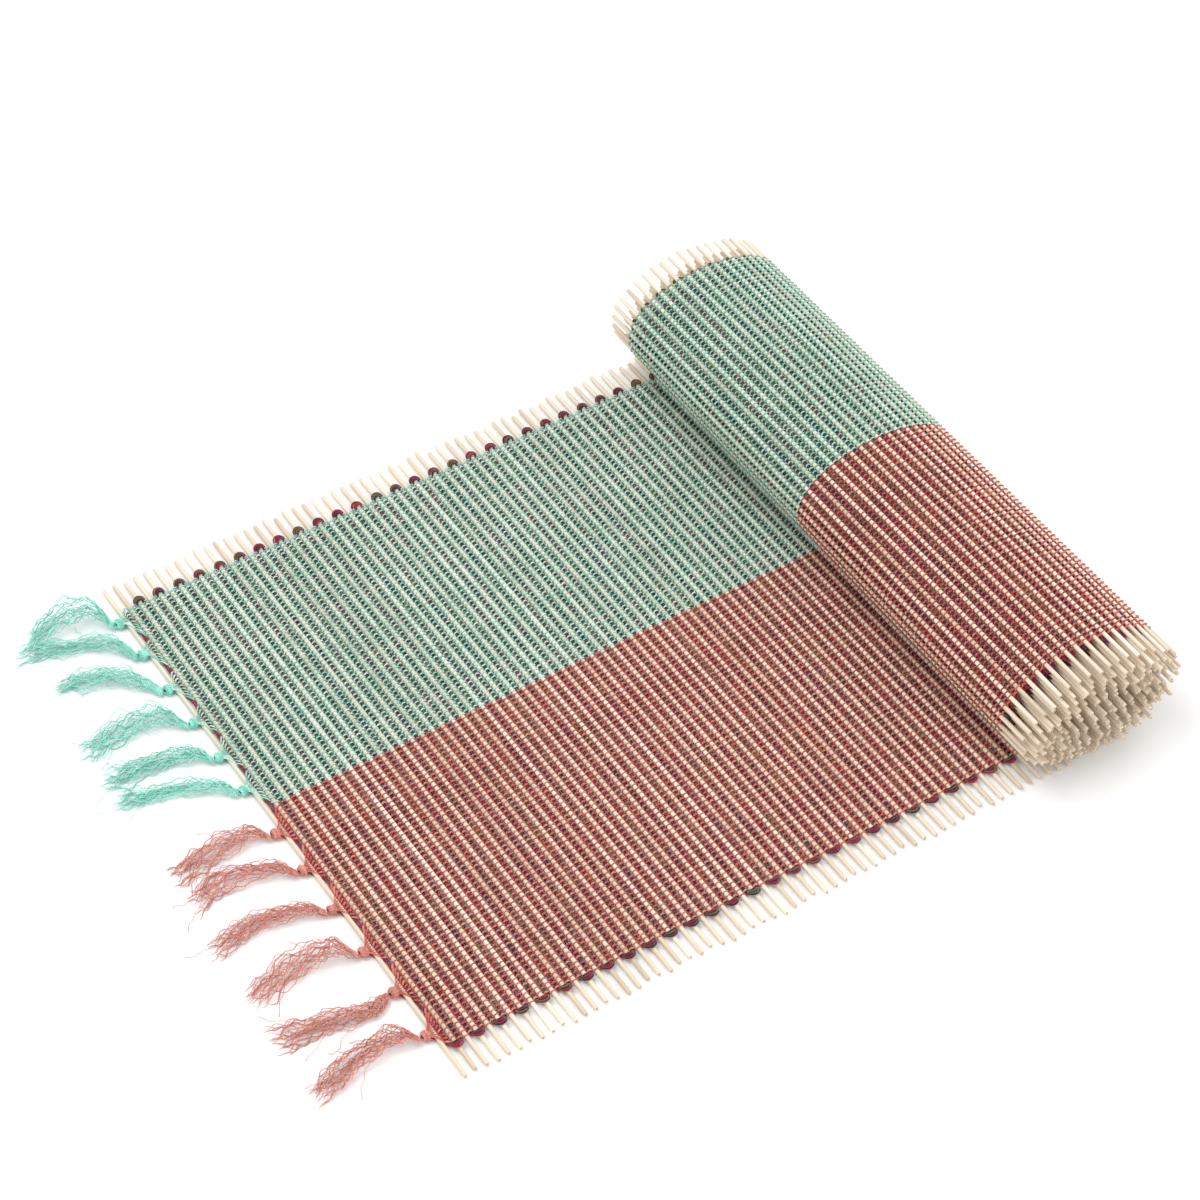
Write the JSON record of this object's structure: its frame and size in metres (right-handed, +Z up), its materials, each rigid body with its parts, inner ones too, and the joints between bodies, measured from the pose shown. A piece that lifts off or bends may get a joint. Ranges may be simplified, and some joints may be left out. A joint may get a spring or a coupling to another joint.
{
  "type": "table runner",
  "caption": "Table runner of bamboo sticks woven with teal and red cotton, knotted tassels at one end, the other end rolled up.",
  "frame": {"origin": "middle of the whole piece in plan, on the table", "axes": "+X along the runner from the tasselled end to the roll, +Y along the sticks towards the teal half, +Z up from the table"},
  "size_m": [0.4314, 0.33, 0.059],
  "materials": {
    "bamboo": "matt",
    "teal_cotton": "matt cotton yarn",
    "red_cotton": "matt cotton yarn"
  },
  "bodies": {
    "laid_strip": {"laid_strip_slats": "bamboo", "laid_strip_warp_red": "red_cotton", "laid_strip_warp_teal": "teal_cotton"},
    "strip_4": {"strip_4_slats": "bamboo", "strip_4_warp_red": "red_cotton", "strip_4_warp_teal": "teal_cotton"},
    "strip_3": {"strip_3_slats": "bamboo", "strip_3_warp_red": "red_cotton", "strip_3_warp_teal": "teal_cotton"},
    "strip_2": {"strip_2_slats": "bamboo", "strip_2_warp_red": "red_cotton", "strip_2_warp_teal": "teal_cotton"},
    "end_strip": {"end_stick": "bamboo", "end_strip_slats": "bamboo", "end_strip_warp_red": "red_cotton", "end_strip_warp_teal": "teal_cotton"},
    "wrap_1": {"wrap_1_slats": "bamboo", "wrap_1_warp_red": "red_cotton", "wrap_1_warp_teal": "teal_cotton"},
    "wrap_2": {"wrap_2_slats": "bamboo", "wrap_2_warp_red": "red_cotton", "wrap_2_warp_teal": "teal_cotton"},
    "roll": {"inner_turns_slats": "bamboo", "inner_turns_warp_red": "red_cotton", "inner_turns_warp_teal": "teal_cotton", "roll_slats": "bamboo", "roll_warp_red": "red_cotton", "roll_warp_teal": "teal_cotton"},
    "tassel_teal_1": {"tassel_teal_1": "teal_cotton"},
    "tassel_teal_2": {"tassel_teal_2": "teal_cotton"},
    "tassel_teal_3": {"tassel_teal_3": "teal_cotton"},
    "tassel_teal_4": {"tassel_teal_4": "teal_cotton"},
    "tassel_teal_5": {"tassel_teal_5": "teal_cotton"},
    "tassel_teal_6": {"tassel_teal_6": "teal_cotton"},
    "tassel_red_1": {"tassel_red_1": "red_cotton"},
    "tassel_red_2": {"tassel_red_2": "red_cotton"},
    "tassel_red_3": {"tassel_red_3": "red_cotton"},
    "tassel_red_4": {"tassel_red_4": "red_cotton"},
    "tassel_red_5": {"tassel_red_5": "red_cotton"},
    "tassel_red_6": {"tassel_red_6": "red_cotton"}
  },
  "joints": [
    {"name": "fold_4", "type": "hinge", "parent": "laid_strip", "child": "strip_4", "pos_m": [0.10508, 0, 0.0033], "axis": [0, 1, 0], "range_deg": [0, 45]},
    {"name": "fold_3", "type": "hinge", "parent": "strip_4", "child": "strip_3", "pos_m": [0.04088, 0, 0.0033], "axis": [0, 1, 0], "range_deg": [0, 45]},
    {"name": "fold_2", "type": "hinge", "parent": "strip_3", "child": "strip_2", "pos_m": [-0.02332, 0, 0.0033], "axis": [0, 1, 0], "range_deg": [0, 45]},
    {"name": "fold_1", "type": "hinge", "parent": "strip_2", "child": "end_strip", "pos_m": [-0.08752, 0, 0.0033], "axis": [0, 1, 0], "range_deg": [0, 45]},
    {"name": "unroll_1", "type": "hinge", "parent": "laid_strip", "child": "wrap_1", "pos_m": [0.19945, 0, 0.00165], "axis": [0, 1, 0], "range_deg": [0, 55.65]},
    {"name": "unroll_2", "type": "hinge", "parent": "wrap_1", "child": "wrap_2", "pos_m": [0.21896, 0, 0.03019], "axis": [0, 1, 0], "range_deg": [0, 70.46]},
    {"name": "unroll_3", "type": "hinge", "parent": "wrap_2", "child": "roll", "pos_m": [0.19916, 0, 0.05735], "axis": [0, 1, 0], "range_deg": [0, 53.91]},
    {"name": "tassel_teal_1_lift", "type": "hinge", "parent": "end_strip", "child": "tassel_teal_1", "pos_m": [-0.1635, 0.141, 0.0024], "axis": [0, 1, 0], "range_deg": [0, 120]},
    {"name": "tassel_teal_2_lift", "type": "hinge", "parent": "end_strip", "child": "tassel_teal_2", "pos_m": [-0.1635, 0.1175, 0.0024], "axis": [0, 1, 0], "range_deg": [0, 120]},
    {"name": "tassel_teal_3_lift", "type": "hinge", "parent": "end_strip", "child": "tassel_teal_3", "pos_m": [-0.1635, 0.0921, 0.0024], "axis": [0, 1, 0], "range_deg": [0, 120]},
    {"name": "tassel_teal_4_lift", "type": "hinge", "parent": "end_strip", "child": "tassel_teal_4", "pos_m": [-0.1635, 0.0675, 0.0024], "axis": [0, 1, 0], "range_deg": [0, 120]},
    {"name": "tassel_teal_5_lift", "type": "hinge", "parent": "end_strip", "child": "tassel_teal_5", "pos_m": [-0.1635, 0.0432, 0.0024], "axis": [0, 1, 0], "range_deg": [0, 120]},
    {"name": "tassel_teal_6_lift", "type": "hinge", "parent": "end_strip", "child": "tassel_teal_6", "pos_m": [-0.1635, 0.0201, 0.0024], "axis": [0, 1, 0], "range_deg": [0, 120]},
    {"name": "tassel_red_1_lift", "type": "hinge", "parent": "end_strip", "child": "tassel_red_1", "pos_m": [-0.1635, -0.0095, 0.0024], "axis": [0, 1, 0], "range_deg": [0, 120]},
    {"name": "tassel_red_2_lift", "type": "hinge", "parent": "end_strip", "child": "tassel_red_2", "pos_m": [-0.1635, -0.034, 0.0024], "axis": [0, 1, 0], "range_deg": [0, 120]},
    {"name": "tassel_red_3_lift", "type": "hinge", "parent": "end_strip", "child": "tassel_red_3", "pos_m": [-0.1635, -0.06, 0.0024], "axis": [0, 1, 0], "range_deg": [0, 120]},
    {"name": "tassel_red_4_lift", "type": "hinge", "parent": "end_strip", "child": "tassel_red_4", "pos_m": [-0.1635, -0.087, 0.0024], "axis": [0, 1, 0], "range_deg": [0, 120]},
    {"name": "tassel_red_5_lift", "type": "hinge", "parent": "end_strip", "child": "tassel_red_5", "pos_m": [-0.1635, -0.1125, 0.0024], "axis": [0, 1, 0], "range_deg": [0, 120]},
    {"name": "tassel_red_6_lift", "type": "hinge", "parent": "end_strip", "child": "tassel_red_6", "pos_m": [-0.1635, -0.139, 0.0024], "axis": [0, 1, 0], "range_deg": [0, 120]}
  ],
  "couplings": [
    {"joint": "unroll_2", "follows": "unroll_1", "ratio": 1.2661},
    {"joint": "unroll_3", "follows": "unroll_1", "ratio": 0.9686}
  ]
}
